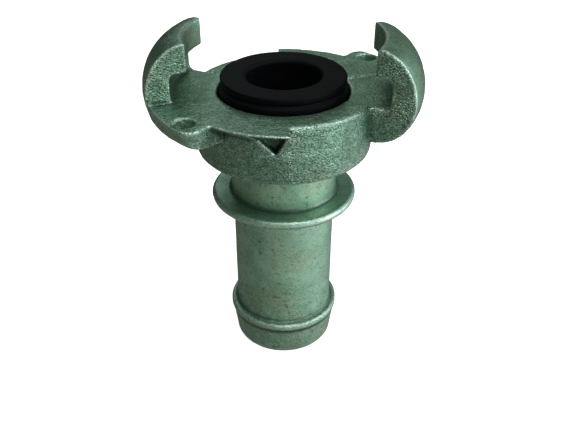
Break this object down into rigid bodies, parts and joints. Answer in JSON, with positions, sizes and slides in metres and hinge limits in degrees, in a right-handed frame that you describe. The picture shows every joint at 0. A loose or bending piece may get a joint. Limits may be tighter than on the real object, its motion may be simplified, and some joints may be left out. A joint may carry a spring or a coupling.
{
  "type": "claw coupling",
  "caption": "Hose-end half of a claw coupling: collared hose tail, swivelling cast head with hooked claws and lips, and a proud rubber face seal.",
  "frame": {"origin": "centre of the hose tail's end face, on the stem's axis", "axes": "+Z along the axis from the tail to the coupling face; +X through the middle of one claw's side of the head; -Y towards the open hook lip"},
  "size_m": [0.0638, 0.0512, 0.0839],
  "materials": {
    "cast_zinc": "zinc-plated malleable iron casting, grained",
    "turned_zinc": "zinc-plated, satin with fine pits",
    "black_rubber": "moulded matt nitrile rubber",
    "o_ring_rubber": "smooth rubber",
    "spring_steel": "plain spring steel",
    "washer_brass": "plain brass"
  },
  "bodies": {
    "stem": {"hose_stem": "turned_zinc", "stem_o_ring": "o_ring_rubber", "thrust_washer": "washer_brass", "retaining_ring": "spring_steel"},
    "head": {"claw_head": "cast_zinc", "face_seal": "black_rubber"}
  },
  "joints": [
    {"name": "head_swivel", "type": "hinge", "parent": "stem", "child": "head", "pos_m": [0, 0, 0.0567], "axis": [0, 0, 1], "continuous": true}
  ]
}
